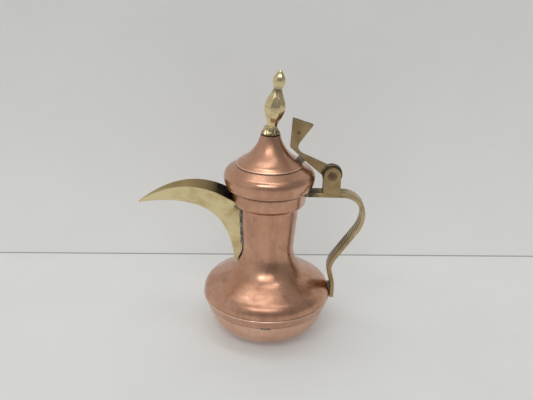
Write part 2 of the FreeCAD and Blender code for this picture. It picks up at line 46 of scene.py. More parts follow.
def addNode(tree, kind, values=None, **settings):
    node = tree.nodes.new(kind)
    for key, setting in settings.items():
        setattr(node, key, setting)
    for key, number in (values or {}).items():
        node.inputs[key].default_value = number
    return node


def maths(tree, operation, first, second=None, clamp=False):
    node = addNode(tree, "ShaderNodeMath", operation=operation, use_clamp=clamp)
    for index, source in enumerate((first, second)):
        if source is None:
            continue
        if isinstance(source, (int, float)):
            node.inputs[index].default_value = source
        else:
            tree.links.new(source, node.inputs[index])
    return node.outputs[0]


def times(tree, first, second):
    return maths(tree, "MULTIPLY", first, second)


def ranged(tree, source, low, high, toLow=0.0, toHigh=1.0):
    node = addNode(tree, "ShaderNodeMapRange", interpolation_type="SMOOTHSTEP")
    tree.links.new(source, node.inputs["Value"])
    for label, number in (("From Min", low), ("From Max", high), ("To Min", toLow), ("To Max", toHigh)):
        if isinstance(number, (int, float)):
            node.inputs[label].default_value = number
        else:
            tree.links.new(number, node.inputs[label])
    return node.outputs["Result"]


def between(tree, mask, low, high):
    # A mask of 0 to 1, carried to low and high
    return ranged(tree, mask, 0, 1, low, high)


def mixColour(tree, amount, first, second, blend="MIX"):
    node = addNode(tree, "ShaderNodeMix", data_type="RGBA", blend_type=blend)
    tree.links.new(amount, node.inputs[0])
    for index, colour in ((6, first), (7, second)):  # the sockets A and B for colours
        if isinstance(colour, tuple):
            node.inputs[index].default_value = (*colour, 1)
        else:
            tree.links.new(colour, node.inputs[index])
    return node.outputs[2]


def objectAxes(tree):
    # The Object coordinates, whole and as across, deep and up
    spot = addNode(tree, "ShaderNodeTexCoord").outputs["Object"]
    axes = addNode(tree, "ShaderNodeSeparateXYZ")
    tree.links.new(spot, axes.inputs[0])
    return spot, axes.outputs


# Effects that several finishes share

def newGroup(name, inputs, outputs):
    group = bpy.data.node_groups.new(name, "ShaderNodeTree")
    for label, default in inputs.items():
        socket = group.interface.new_socket(label, in_out="INPUT", socket_type="NodeSocketFloat")
        socket.default_value = default
    for label in outputs:
        group.interface.new_socket(label, in_out="OUTPUT", socket_type="NodeSocketFloat")
    start = group.nodes.new("NodeGroupInput")
    end = group.nodes.new("NodeGroupOutput")
    return group, start, end


def buildNoise(name, defaults, grain, drawn=None):
    # A mask of noise, which drawn stretches and turns
    group, start, end = newGroup(name, defaults, ["Mask"])
    spot = addNode(group, "ShaderNodeTexCoord").outputs["Object"]
    if drawn:
        mapping = addNode(group, "ShaderNodeMapping", drawn)
        group.links.new(spot, mapping.inputs["Vector"])
        spot = mapping.outputs[0]
    noise = addNode(group, "ShaderNodeTexNoise", grain)
    group.links.new(spot, noise.inputs["Vector"])
    group.links.new(start.outputs["Scale"], noise.inputs["Scale"])
    mask = ranged(group, noise.outputs[0], start.outputs["Low"], start.outputs["High"])
    group.links.new(mask, end.inputs["Mask"])
    return group


# Fine rings left by turning and polishing, about the upright middle line
def buildRings():
    fineness = {"Height": 1.0, "Streak": 0.16}
    group, start, end = newGroup("turningRings", {"Pitch": 1500, "Drift": 4}, fineness)
    axes = objectAxes(group)[1]
    squares = [times(group, axes[index], axes[index]) for index in (0, 1)]
    radius = maths(group, "SQRT", maths(group, "ADD", *squares))
    turn = maths(group, "ARCTAN2", axes[1], axes[0])
    for label, scale in fineness.items():
        pitch = times(group, start.outputs["Pitch"], scale)
        spot = addNode(group, "ShaderNodeCombineXYZ")
        group.links.new(times(group, radius, pitch), spot.inputs[0])
        group.links.new(times(group, turn, start.outputs["Drift"]), spot.inputs[1])
        group.links.new(times(group, axes[2], pitch), spot.inputs[2])
        noise = addNode(group, "ShaderNodeTexNoise", {"Scale": 1, "Detail": 3, "Roughness": 0.6})
        group.links.new(spot.outputs[0], noise.inputs["Vector"])
        group.links.new(noise.outputs[0], end.inputs[label])
    return group


# A ragged line at a given height: grime and painted shade in a seam, or a painted highlight along an edge
def buildSeam():
    leastShare = 0.5  # of the spread, where the line is thinnest
    group, start, end = newGroup("raggedLine", {"Height": 0, "Spread": 0.001}, ["Mask"])
    spot, axes = objectAxes(group)
    noise = addNode(group, "ShaderNodeTexNoise", {"Scale": 420, "Detail": 4})
    group.links.new(spot, noise.inputs["Vector"])
    away = maths(group, "ABSOLUTE", maths(group, "SUBTRACT", axes[2], start.outputs["Height"]))
    ragged = times(group, start.outputs["Spread"], maths(group, "ADD", noise.outputs[0], leastShare))
    near = maths(group, "SUBTRACT", 1.0, maths(group, "DIVIDE", away, ragged), clamp=True)
    group.links.new(near, end.inputs["Mask"])
    return group


# Small casting pits, which come in patches
def buildPits():
    pitted = {"low": 0.42, "high": 0.7, "smallest": 0.001}
    group, start, end = newGroup("castingPits", {"Scale": 900, "Amount": 0.25}, ["Mask"])
    spot = addNode(group, "ShaderNodeTexCoord").outputs["Object"]
    cells = addNode(group, "ShaderNodeTexVoronoi", {"Randomness": 1})
    patches = addNode(group, "ShaderNodeTexNoise", {"Scale": 160, "Detail": 3})
    for node in (cells, patches):
        group.links.new(spot, node.inputs["Vector"])
    group.links.new(start.outputs["Scale"], cells.inputs["Scale"])
    size = times(group, start.outputs["Amount"],
                 ranged(group, patches.outputs[0], pitted["low"], pitted["high"]))
    size = maths(group, "MAXIMUM", size, pitted["smallest"])
    pit = maths(group, "SUBTRACT", 1.0, maths(group, "DIVIDE", cells.outputs["Distance"], size), clamp=True)
    group.links.new(pit, end.inputs["Mask"])
    return group


# Soft clouds of tarnish, hair scratches on a slant, and upright smears where a rag was drawn or liquid ran
cloudGroup = buildNoise("tarnishCloud", {"Scale": 60, "Low": 0.4, "High": 0.7},
                        {"Detail": 6, "Roughness": 0.62, "Distortion": 0.4})
scratchGroup = buildNoise("hairScratches", {"Scale": 260, "Low": 0.6, "High": 0.72},
                          {"Detail": 5, "Roughness": 0.7},
                          {"Rotation": (0.5, 0.7, 0.3), "Scale": (1, 0.06, 1)})
smearGroup = buildNoise("uprightSmears", {"Scale": 120, "Low": 0.45, "High": 0.65},
                        {"Detail": 4, "Roughness": 0.55}, {"Scale": (1, 1, 0.1)})
ringGroup, seamGroup, pitGroup = buildRings(), buildSeam(), buildPits()


def place(tree, group, output, **values):
    node = addNode(tree, "ShaderNodeGroup", node_tree=group)
    for label, number in values.items():
        node.inputs[label.capitalize()].default_value = number
    return node.outputs[output]


# Finishes

def newMaterial(name, metallic=1.0):
    material = bpy.data.materials.new(name)
    material.use_nodes = True
    tree = material.node_tree
    shader = tree.nodes["Principled BSDF"]
    shader.inputs["Metallic"].default_value = metallic
    return material, tree, shader


def addBump(tree, shader, height, look):
    bump = addNode(tree, "ShaderNodeBump", {"Strength": look["bumpStrength"], "Distance": look["bumpDepth"]})
    tree.links.new(height, bump.inputs["Height"])
    tree.links.new(bump.outputs[0], shader.inputs["Normal"])


copperLook = {
    "bright": (0.67, 0.37, 0.245), "deep": (0.56, 0.295, 0.185), "brown": (0.36, 0.185, 0.12),
    "grimeAndShade": (0.05, 0.03, 0.022), "worn": (0.90, 0.60, 0.44), "smooth": 0.22, "dull": 0.34, "smear": 0.2,
    "lacquer": 0.25,
}
# The bowl's copper painted paler, as light from the floor falls on it
bowlLitLook = {
    "bright": (0.80, 0.505, 0.37), "deep": (0.69, 0.415, 0.295), "brown": (0.46, 0.26, 0.175),
    "grimeAndShade": (0.05, 0.03, 0.022), "smooth": 0.26, "dull": 0.38, "smear": 0.12, "lacquer": 0.25,
}
pinLook = {
    "bright": (0.27, 0.15, 0.105), "deep": (0.17, 0.095, 0.07), "brown": (0.09, 0.05, 0.04),
    "grimeAndShade": (0.05, 0.03, 0.02), "smooth": 0.4, "dull": 0.55, "smear": 0.3, "lacquer": 0,
}
copperMarks = {
    "patches": {"scale": 34, "low": 0.36, "high": 0.68}, "stains": {"scale": 85, "low": 0.56, "high": 0.74},
    "streaks": {"pitch": 1500, "drift": 3}, "rings": {"pitch": 2600, "drift": 5},
    "scratches": {"scale": 300}, "smears": {"scale": 130},
    "stainShare": 0.45, "streakShade": (0.35, 0.75, 0, 0.35), "seamShare": 0.85,
    "streakRough": (0.3, 0.7, -0.03, 0.06), "scratchRough": 0.08, "scratchDepth": 0.5,
    "bumpDepth": 0.00004, "bumpStrength": 0.5, "lacquerRough": 0.14,
}


def copperMaterial(name, seams=(), look=copperLook, edges=()):
    marks = copperMarks
    material, tree, shader = newMaterial(name)
    patches = place(tree, cloudGroup, "Mask", **marks["patches"])
    stains = place(tree, cloudGroup, "Mask", **marks["stains"])
    streak = place(tree, ringGroup, "Streak", **marks["streaks"])
    rings = place(tree, ringGroup, "Height", **marks["rings"])
    scratches = place(tree, scratchGroup, "Mask", **marks["scratches"])
    smears = place(tree, smearGroup, "Mask", **marks["smears"])
    colour = mixColour(tree, patches, look["bright"], look["deep"])
    colour = mixColour(tree, times(tree, stains, marks["stainShare"]), colour, look["brown"])
    colour = mixColour(tree, ranged(tree, streak, *marks["streakShade"]), colour, look["deep"])
    colour = mixColour(tree, times(tree, smears, look["smear"]), colour, look["brown"])
    # Grime and painted shade along seams, gaps and under overhanging lips
    for height, spread in seams:
        mask = place(tree, seamGroup, "Mask", height=height * mm, spread=spread * mm)
        colour = mixColour(tree, times(tree, mask, marks["seamShare"]), colour, look["grimeAndShade"])
    for height, spread in edges:  # painted highlights along rounded edges
        mask = place(tree, seamGroup, "Mask", height=height * mm, spread=spread * mm)
        colour = mixColour(tree, mask, colour, look["worn"])
    tree.links.new(colour, shader.inputs["Base Color"])
    rough = maths(tree, "ADD", between(tree, patches, look["smooth"], look["dull"]),
                  ranged(tree, streak, *marks["streakRough"]))
    rough = maths(tree, "ADD", rough, times(tree, scratches, marks["scratchRough"]))
    tree.links.new(rough, shader.inputs["Roughness"])
    height = maths(tree, "SUBTRACT", rings, times(tree, scratches, marks["scratchDepth"]))
    addBump(tree, shader, height, marks)
    shader.inputs["Coat Weight"].default_value = look["lacquer"]
    shader.inputs["Coat Roughness"].default_value = marks["lacquerRough"]
    return material


spoutLook = {
    "pale": (0.80, 0.68, 0.39), "straw": (0.66, 0.53, 0.27), "brown": (0.60, 0.46, 0.24),
    "neckwardDark": (0.055, 0.043, 0.032),
    "patches": {"scale": 55, "low": 0.42, "high": 0.7}, "specks": {"scale": 380, "amount": 0.16},
    "scratches": {"scale": 340}, "speckShare": 0.7,
    "ragged": 0.012, "brownReach": (-0.098, -0.07, 0.25, 0.85), "neckwardDarkReach": (-0.054, -0.03),
    "rough": (0.33, 0.46), "scratchRough": 0.1, "patchDepth": 0.6, "scratchDepth": -0.3,
    "bumpDepth": 0.0001, "bumpStrength": 0.6,
}


def spoutMaterial(name, inside):
    look = spoutLook
    material, tree, shader = newMaterial(name)
    patches = place(tree, cloudGroup, "Mask", **look["patches"])
    specks = place(tree, pitGroup, "Mask", **look["specks"])
    scratches = place(tree, scratchGroup, "Mask", **look["scratches"])
    colour = mixColour(tree, patches, look["pale"], look["straw"])
    colour = mixColour(tree, times(tree, specks, look["speckShare"]), colour, look["brown"])
    if inside:  # brown at the tip, darker towards the neck
        axes = objectAxes(tree)[1]
        ragged = maths(tree, "ADD", axes[0], times(tree, patches, look["ragged"]))
        colour = mixColour(tree, ranged(tree, ragged, *look["brownReach"]), colour, look["brown"])
        colour = mixColour(tree, ranged(tree, ragged, *look["neckwardDarkReach"]), colour, look["neckwardDark"])
    tree.links.new(colour, shader.inputs["Base Color"])
    rough = maths(tree, "ADD", between(tree, patches, *look["rough"]),
                  times(tree, scratches, look["scratchRough"]))
    tree.links.new(rough, shader.inputs["Roughness"])
    height = maths(tree, "ADD", times(tree, patches, look["patchDepth"]),
                   times(tree, scratches, look["scratchDepth"]))
    addBump(tree, shader, maths(tree, "SUBTRACT", height, specks), look)
    return material


def nearSpot(tree, axes, spot, inside, outside):
    # Seen from the side: 1 closer to the spot than inside, 0 beyond outside
    across = maths(tree, "SUBTRACT", axes[0], spot[0])
    up = maths(tree, "SUBTRACT", axes[2], spot[1])
    squares = maths(tree, "ADD", times(tree, across, across), times(tree, up, up))
    return ranged(tree, maths(tree, "SQRT", squares), inside, outside, 1, 0)


castLook = {
    "bare": (0.47, 0.345, 0.18), "worn": (0.37, 0.25, 0.12), "dark": (0.085, 0.065, 0.04),
    "green": (0.115, 0.12, 0.085), "crust": (0.05, 0.053, 0.042), "grip": (0.64, 0.51, 0.31),
    "patches": {"scale": 70, "low": 0.38, "high": 0.68}, "crusts": {"scale": 140, "low": 0.5, "high": 0.66},
    "pits": {"scale": 620, "amount": 0.28}, "pitShare": 0.8,
    "filmFacing": (0.45, 0.9), "filmReach": (0.058, 0.066, 1, 0.15), "filmShare": (0.35, 0.95),
    "hinge": (0.0492, 0.138),
    "rough": (0.34, 0.48), "filmRough": 0.15, "patchDepth": 0.5, "bumpDepth": 0.00018, "bumpStrength": 0.7,
}
strapMarks = {
    "gripReach": (0.057, 0.068), "gripShare": (0.75, 0.3), "dish": (0.0034, 0.0041), "dishShare": (0.55, 0.95),
    "plateReach": (0.033, 0.043, 1, 0), "plateShare": (0.5, 0.95),
    "fileLine": (0.558, 0, 0.83), "filePitch": 0.0019, "fileLow": (0.056, 0.066), "fileHigh": (0.100, 0.110, 1, 0),
    "fileFacing": (-0.35, -0.7), "fileRidge": (-0.6, 0.6), "fileShade": (-0.7, 0.7, 0.9, 0.1), "fileDepth": 1.6,
}
armMarks = {
    "knuckle": (0.0078, 0.0105), "knuckleShare": (0.6, 0.95),
    "dentSpot": (0.0218, 0.1716), "dent": (0.0007, 0.0018), "dentShare": 0.6, "dentDepth": 2,
}


def castMaterial(name, strap):
    look = castLook
    material, tree, shader = newMaterial(name)
    patches = place(tree, cloudGroup, "Mask", **look["patches"])
    crust = place(tree, cloudGroup, "Mask", **look["crusts"])
    pits = place(tree, pitGroup, "Mask", **look["pits"])
    facing = addNode(tree, "ShaderNodeNewGeometry")
    normal = addNode(tree, "ShaderNodeSeparateXYZ")
    tree.links.new(facing.outputs["Normal"], normal.inputs[0])
    spot, axes = objectAxes(tree)
    colour = mixColour(tree, patches, look["bare"], look["worn"])
    colour = mixColour(tree, times(tree, pits, look["pitShare"]), colour, look["dark"])
    # Green film on level faces near the lid
    level = times(tree, ranged(tree, normal.outputs[2], *look["filmFacing"]),
                  ranged(tree, axes[0], *look["filmReach"]))
    film = times(tree, level, between(tree, crust, *look["filmShare"]))
    colour = mixColour(tree, film, colour, look["green"])
    height = maths(tree, "SUBTRACT", times(tree, patches, look["patchDepth"]), pits)
    if strap:
        marks = strapMarks
        # Bright where a hand holds the strap
        grip = times(tree, ranged(tree, axes[0], *marks["gripReach"]),
                     between(tree, patches, *marks["gripShare"]))
        colour = mixColour(tree, grip, colour, look["grip"])
        # Black in the dish round the pin, crust where the plate meets the collar
        dish = times(tree, nearSpot(tree, axes, look["hinge"], *marks["dish"]),
                     between(tree, crust, *marks["dishShare"]))
        colour = mixColour(tree, dish, colour, look["dark"])
        plate = times(tree, ranged(tree, axes[0], *marks["plateReach"]),
                      between(tree, crust, *marks["plateShare"]))
        colour = mixColour(tree, plate, colour, look["crust"])
        # File marks across the inner face
        along = addNode(tree, "ShaderNodeVectorMath", {1: marks["fileLine"]}, operation="DOT_PRODUCT")
        tree.links.new(spot, along.inputs[0])
        wave = maths(tree, "SINE", times(tree, along.outputs["Value"], 2 * math.pi / marks["filePitch"]))
        band = times(tree, ranged(tree, axes[2], *marks["fileLow"]), ranged(tree, axes[2], *marks["fileHigh"]))
        inner = times(tree, ranged(tree, normal.outputs[0], *marks["fileFacing"]), band)
        shade = times(tree, inner, ranged(tree, wave, *marks["fileShade"]))
        colour = mixColour(tree, shade, colour, look["dark"])
        ridges = times(tree, ranged(tree, wave, *marks["fileRidge"]), inner)
        height = maths(tree, "ADD", height, times(tree, ridges, marks["fileDepth"]))
    else:
        marks = armMarks
        # Black knuckle, and one dent in the thumb lift
        knuckle = times(tree, nearSpot(tree, axes, look["hinge"], *marks["knuckle"]),
                        between(tree, crust, *marks["knuckleShare"]))
        colour = mixColour(tree, knuckle, colour, look["crust"])
        dent = nearSpot(tree, axes, marks["dentSpot"], *marks["dent"])
        colour = mixColour(tree, times(tree, dent, marks["dentShare"]), colour, look["dark"])
        height = maths(tree, "SUBTRACT", height, times(tree, dent, marks["dentDepth"]))
    tree.links.new(colour, shader.inputs["Base Color"])
    rough = maths(tree, "ADD", between(tree, patches, *look["rough"]), times(tree, film, look["filmRough"]))
    tree.links.new(rough, shader.inputs["Roughness"])
    addBump(tree, shader, height, look)
    return material


finialLook = {
    "bright": (0.83, 0.69, 0.41), "straw": (0.60, 0.47, 0.24), "dark": (0.11, 0.075, 0.04),
    "patches": {"scale": 110, "low": 0.4, "high": 0.7},
    "specks": {"scale": 700, "amount": 0.3}, "speckShare": 0.6,
    "base": {"height": 0.1696, "spread": 0.0016}, "baseShare": 0.9,
    "waist": {"height": 0.2045, "spread": 0.0034}, "waistShare": 0.6,
    "ribs": {"height": 0.1722, "spread": 0.0036}, "ribGrime": {"scale": 480, "low": 0.42, "high": 0.56},
    "ribShare": 0.95, "rough": (0.09, 0.19), "bumpDepth": 0.00008, "bumpStrength": 0.5,
}


def finialMaterial(name):
    look = finialLook
    material, tree, shader = newMaterial(name)
    patches = place(tree, cloudGroup, "Mask", **look["patches"])
    specks = place(tree, pitGroup, "Mask", **look["specks"])
    base = place(tree, seamGroup, "Mask", **look["base"])
    waist = place(tree, seamGroup, "Mask", **look["waist"])
    ribs = times(tree, place(tree, seamGroup, "Mask", **look["ribs"]),
                 place(tree, cloudGroup, "Mask", **look["ribGrime"]))
    colour = mixColour(tree, patches, look["bright"], look["straw"])
    # Darker in specks, at the waist and in the ribs; the line at the foot's lower edge is painted shade in the gap
    # over the bell, with some grime
    for mask, share in ((specks, "speckShare"), (base, "baseShare"), (waist, "waistShare"), (ribs, "ribShare")):
        colour = mixColour(tree, times(tree, mask, look[share]), colour, look["dark"])
    tree.links.new(colour, shader.inputs["Base Color"])
    tree.links.new(between(tree, patches, *look["rough"]), shader.inputs["Roughness"])
    addBump(tree, shader, maths(tree, "SUBTRACT", patches, specks), look)
    return material


solderLook = {
    "pale": (0.36, 0.35, 0.33), "grey": (0.13, 0.125, 0.12), "dark": (0.035, 0.03, 0.028),
    "patches": {"scale": 190, "low": 0.38, "high": 0.66}, "pits": {"scale": 800, "amount": 0.5},
    "rough": (0.38, 0.6), "bumpDepth": 0.00025, "bumpStrength": 0.8,
}


def solderMaterial(name):
    look = solderLook
    material, tree, shader = newMaterial(name)
    patches = place(tree, cloudGroup, "Mask", **look["patches"])
    pits = place(tree, pitGroup, "Mask", **look["pits"])
    colour = mixColour(tree, patches, look["pale"], look["grey"])
    colour = mixColour(tree, pits, colour, look["dark"])
    tree.links.new(colour, shader.inputs["Base Color"])
    tree.links.new(between(tree, patches, *look["rough"]), shader.inputs["Roughness"])
    addBump(tree, shader, maths(tree, "SUBTRACT", patches, pits), look)
    return material


# Seams get grime and painted shade, edges a painted highlight: height and spread in millimetres
bowlLitCopper = copperMaterial("bowlLitCopper", [(25.6, 0.9)], bowlLitLook)
bodyCopper = copperMaterial("bodyCopper", [(33.7, 0.5), (111.5, 0.5)], {**copperLook, "smear": 0.42})
bandCopper = copperMaterial("bandCopper", [(25.6, 0.8)], edges=[(33.3, 1.1)])
# The collar's line at 125 mm is painted shadow under the lid's overhanging lip, with some grime
collarCopper = copperMaterial("collarCopper", [(111.5, 0.4), (125.0, 1.6)])
# The ring's line at 127 mm is painted shade along its lower lip over the collar
lidCopper = copperMaterial("lidCopper", [(127.0, 0.8), (145.1, 0.4)])
bellCopper = copperMaterial("bellCopper", [(145.1, 0.35), (169.3, 0.6)], edges=[(146.1, 0.6)])
pinCopper = copperMaterial("pinCopper", look=pinLook)
sheetBrass = spoutMaterial("sheetBrass", inside=False)
spoutTarnish = spoutMaterial("spoutTarnish", inside=True)
strapBrass = castMaterial("strapBrass", strap=True)
armBrass = castMaterial("armBrass", strap=False)
finialBrass = finialMaterial("finialBrass")
solderGrey = solderMaterial("solderGrey")
print("materials ready")


# Mesh helpers

def addPiece(name, bm, material, body, replaced=(), sharpAngle=40):
    bmesh.ops.recalc_face_normals(bm, faces=bm.faces[:])
    for face in bm.faces:
        face.smooth = True
    for edge in bm.edges:
        if len(edge.link_faces) == 2:
            edge.smooth = edge.calc_face_angle(0) < math.radians(sharpAngle)
    mesh = bpy.data.meshes.new(name)
    bm.to_mesh(mesh)
    bm.free()
    piece = bpy.data.objects.new(name, mesh)
    scene.collection.objects.link(piece)
    mesh.materials.append(material)
    if body:
        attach(piece, body)
        if replaced:
            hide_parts(*replaced)
    return piece


def drawProfile(bm, start, moves):
    # A half section in millimetres: ("line", across, up) or ("arc", centre across, centre up, degrees, steps)
    tip = bm.verts.new((start[0] * mm, 0, start[1] * mm))
    for kind, across, up, *arc in moves:
        spot = (across * mm, 0, up * mm)
        if kind == "line":
            tip = bmesh.ops.extrude_vert_indiv(bm, verts=[tip])["verts"][0]
            tip.co = spot
        else:
            degrees, steps = arc
            swept = bmesh.ops.spin(bm, geom=[tip], cent=spot, axis=(0, -1, 0),
                                   angle=math.radians(degrees), steps=steps)
            tip = [item for item in swept["geom_last"] if isinstance(item, bmesh.types.BMVert)][0]
    bmesh.ops.remove_doubles(bm, verts=bm.verts[:], dist=2e-5)


def turnProfile(bm, steps=192):
    bmesh.ops.spin(bm, geom=bm.verts[:] + bm.edges[:], cent=(0, 0, 0), axis=(0, 0, 1),
                   angle=2 * math.pi, steps=steps, use_merge=True)
    bmesh.ops.remove_doubles(bm, verts=bm.verts[:], dist=1e-6)
    bmesh.ops.dissolve_degenerate(bm, dist=1e-7, edges=bm.edges[:])


def addSoftEdges(piece, soft, angle=35):
    edges = piece.modifiers.new("softEdges", "BEVEL")
    edges.width = soft * mm
    edges.segments = 3
    edges.limit_method = "ANGLE"
    edges.angle_limit = math.radians(angle)
    edges.harden_normals = True


def addWall(piece, settings, insideSlot=0):
    wall = piece.modifiers.new("wall", "SOLIDIFY")
    wall.thickness = settings["sheet"] * mm
    wall.offset = -1
    wall.use_even_offset = True
    wall.material_offset = insideSlot
    addSoftEdges(piece, settings["soft"])


def turnedSheet(name, settings, material, body, replaced):
    bm = bmesh.new()
    drawProfile(bm, settings["start"], settings["moves"])
    turnProfile(bm)
    addWall(addPiece(name, bm, material, body, replaced), settings)


def softCopy(name, nodeName, material, body, soft):
    # A node's own shape with its triangles merged and its edges rounded
    bm = bmesh.new()
    bm.from_mesh(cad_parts[nodeName].data)
    bmesh.ops.remove_doubles(bm, verts=bm.verts[:], dist=2e-6)
    bmesh.ops.dissolve_limit(bm, angle_limit=math.radians(0.3), verts=bm.verts[:], edges=bm.edges[:])
    addSoftEdges(addPiece(name, bm, material, body, [nodeName]), soft, angle=40)


# Copper vessel
bowl = {
    "start": (0, 0),
    "moves": [("line", 10, 0), ("line", 21.6, 0), ("arc", 21.6, 27.038, 86.95, 40), ("line", 49.92, 29.5)],
    "sheet": 1.2, "soft": 0.2,
}
turnedSheet("copperBowl", bowl, bowlLitCopper, "pot", ["lower_bowl"])

# Cover strip with a rolled bead along its upper edge
band = {
    "start": (48.62, 25.5),
    "moves": [("line", 49.55, 25.5), ("line", 52.4, 32.2), ("arc", 51.7, 32.75, 165, 16)],
    "soft": 0.2,
}
bandMesh = bmesh.new()
drawProfile(bandMesh, band["start"], band["moves"])
bandMesh.verts.ensure_lookup_table()
bandMesh.edges.new((bandMesh.verts[-1], bandMesh.verts[0]))
turnProfile(bandMesh)
addSoftEdges(addPiece("bellyBand", bandMesh, bandCopper, "pot", ["belly_band"]), band["soft"])

# Shoulder and neck keep the node's own shape, which has the pour holes
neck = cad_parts["upper_body"]
neck.data.materials.clear()
neck.data.materials.append(bodyCopper)

collar = {
    "start": (24.095, 111.5),
    "moves": [("arc", 23.76, 117.49, 64.3, 16), ("line", 29.3, 126.9), ("line", 25.5, 126.9)],
    "sheet": 1.0, "soft": 0.4,
}
turnedSheet("mouthCollar", collar, collarCopper, "pot", ["mouth_collar"])
print("vessel ready")


# Folded brass spout: a flat grid bent into a trough that follows a keel line and an open rim line
spout = {
    "keel": [(-26.6, 57.5), (-30.7, 96.0), (-45.2, 120.3), (-104.0, 110.0)],
    "rim": [(-23.2, 114.3), (-52.7, 134.1), (-78.5, 130.0), (-104.0, 111.0)],
    "root": [(-25.6, 58.5), (-16.95, 82.0), (-16.95, 111.5), (-23.2, 114.3)],
    "rootShare": 0.45, "footHalf": 2.2, "mouthHalf": 12.6, "tipHalf": 1.7, "taper": 1.8,
    "stations": 72, "across": 30, "sheet": 1.0, "soft": 0.22, "bury": 0.5, "openShare": 0.75,
}


def alongCurve(poles, share):
    rest = 1 - share
    weights = (rest ** 3, 3 * share * rest ** 2, 3 * share ** 2 * rest, share ** 3)
    return Vector((sum(pole[0] * weight for pole, weight in zip(poles, weights)), 0,
                   sum(pole[1] * weight for pole, weight in zip(poles, weights))))


def troughPoint(share, side):
    # A point of the trough in metres: share runs from the foot to the tip, side from -1 to 1 across
    keel = alongCurve(spout["keel"], share)
    if share < spout["rootShare"]:
        along = share / spout["rootShare"]
        edge = alongCurve(spout["root"], along)
        half = spout["footHalf"] + (spout["mouthHalf"] - spout["footHalf"]) * along
    else:
        along = (share - spout["rootShare"]) / (1 - spout["rootShare"])
        edge = alongCurve(spout["rim"], along)
        half = spout["mouthHalf"] - (spout["mouthHalf"] - spout["tipHalf"]) * along ** spout["taper"]
    return (keel + (edge - keel) * side ** 2 + Vector((0, half * side, 0))) * mm


# The outside of shoulder, neck and collar as one closed form, to cut the trough and to lay its solder
shoulder = {
    "start": (49.92, 29.6),
    "moves": [("line", 51.2, 33.4), ("line", 52.17, 34.004), ("arc", 40.65, 34.85, 63.7, 36),
              ("line", 33.5, 52.466), ("arc", 46.544, 74.61, -64.7, 44)],
}
mouthTop = collar["moves"][-1][2]
vesselMesh = bmesh.new()
drawProfile(vesselMesh, (0, shoulder["start"][1]),
            [("line", *shoulder["start"]), *shoulder["moves"], ("line", *collar["start"]), *collar["moves"],
             ("line", 0, mouthTop)])
turnProfile(vesselMesh)
vesselTree = BVHTree.FromBMesh(vesselMesh)
vesselMesh.free()

# The part of the trough inside the vessel goes, and its cut edge sits in the vessel's wall
troughMesh = bmesh.new()
bmesh.ops.create_grid(troughMesh, x_segments=spout["stations"], y_segments=spout["across"], size=1)
buried = set()
for vert in troughMesh.verts:
    vert.co = troughPoint((vert.co.x + 1) / 2, vert.co.y)
    outward = Vector((vert.co.x, vert.co.y, 0))
    hit = vesselTree.ray_cast(Vector((0, 0, vert.co.z)), outward.normalized())[0]
    if hit and outward.length < hit.xy.length - spout["bury"] * mm:
        outward *= (hit.xy.length - spout["bury"] * mm) / outward.length
        vert.co.xy = outward.xy
        buried.add(vert)
lost = [face for face in troughMesh.faces if all(vert in buried for vert in face.verts)]
bmesh.ops.delete(troughMesh, geom=lost, context="FACES")
trough = addPiece("foldedSpout", troughMesh, sheetBrass, "pot", ["spout"])
trough.data.materials.append(spoutTarnish)
openKeel = troughPoint(spout["openShare"], 0)
keelFace = min(trough.data.polygons, key=lambda polygon: (polygon.center - openKeel).length)
if keelFace.normal.z > 0:  # the outside of the trough faces down
    trough.data.flip_normals()
addWall(trough, spout, insideSlot=1)
print("spout ready")


# Solder: a bead up both sides of the spout and round the handle's plate, and a drop on the belly seam
solder = {
    "beadRadius": 1.45, "wobble": 0.26, "waves": (2.1, 0.7),
    "firstShare": 0.004, "shareSpan": 0.5, "steps": 34, "stretches": 40,
}


def addBead(name, points, radius):
    curve = bpy.data.curves.new(name, "CURVE")
    curve.dimensions = "3D"
    curve.bevel_depth = radius * mm
    curve.bevel_resolution = 3
    curve.use_fill_caps = True
    line = curve.splines.new("NURBS")
    line.points.add(len(points) - 1)
    quick, slow = solder["waves"]
    for index, (spot, point) in enumerate(zip(points, line.points)):
        point.co = (*spot, 1)
        point.radius = 1 + solder["wobble"] * math.sin(index * quick) * math.sin(index * slow + 1)
    line.order_u = 3
    line.use_endpoint_u = True
    holder = bpy.data.objects.new(name, curve)
    scene.collection.objects.link(holder)
    shaped = holder.evaluated_get(bpy.context.evaluated_depsgraph_get())
    bm = bmesh.new()
    bm.from_mesh(bpy.data.meshes.new_from_object(shaped))
    bpy.data.objects.remove(holder)
    bmesh.ops.remove_doubles(bm, verts=bm.verts[:], dist=1e-6)
    addPiece(name, bm, solderGrey, "pot")


# Each bead follows the line where the trough goes into the vessel
for side, label in ((-1, "near"), (1, "far")):
    joint = []
    for step in range(solder["steps"] + 1):
        share = solder["firstShare"] + solder["shareSpan"] * step / solder["steps"]
        for stretch in range(solder["stretches"]):
            start = troughPoint(share, side * stretch / solder["stretches"])
            reach = troughPoint(share, side * (stretch + 1) / solder["stretches"]) - start
            hit = vesselTree.ray_cast(start, reach.normalized(), reach.length)[0]
            if hit:
                joint.append(hit)
                break
    addBead(f"spoutSolder.{label}", joint, solder["beadRadius"])

plateJoint = {
    "radius": 29.35, "bead": 0.7,
    "loop": [(-5.6, 123.6), (-2, 123.6), (2, 123.6), (5.6, 123.6), (6.2, 122.6), (6.2, 121.2), (5.6, 120.2),
             (2, 120.2), (-2, 120.2), (-5.6, 120.2), (-6.2, 121.2), (-6.2, 122.6), (-5.6, 123.6)],
}
plateLine = [(math.sqrt(plateJoint["radius"] ** 2 - deep ** 2) * mm, deep * mm, up * mm)
             for deep, up in plateJoint["loop"]]
addBead("plateSolder", plateLine, plateJoint["bead"])

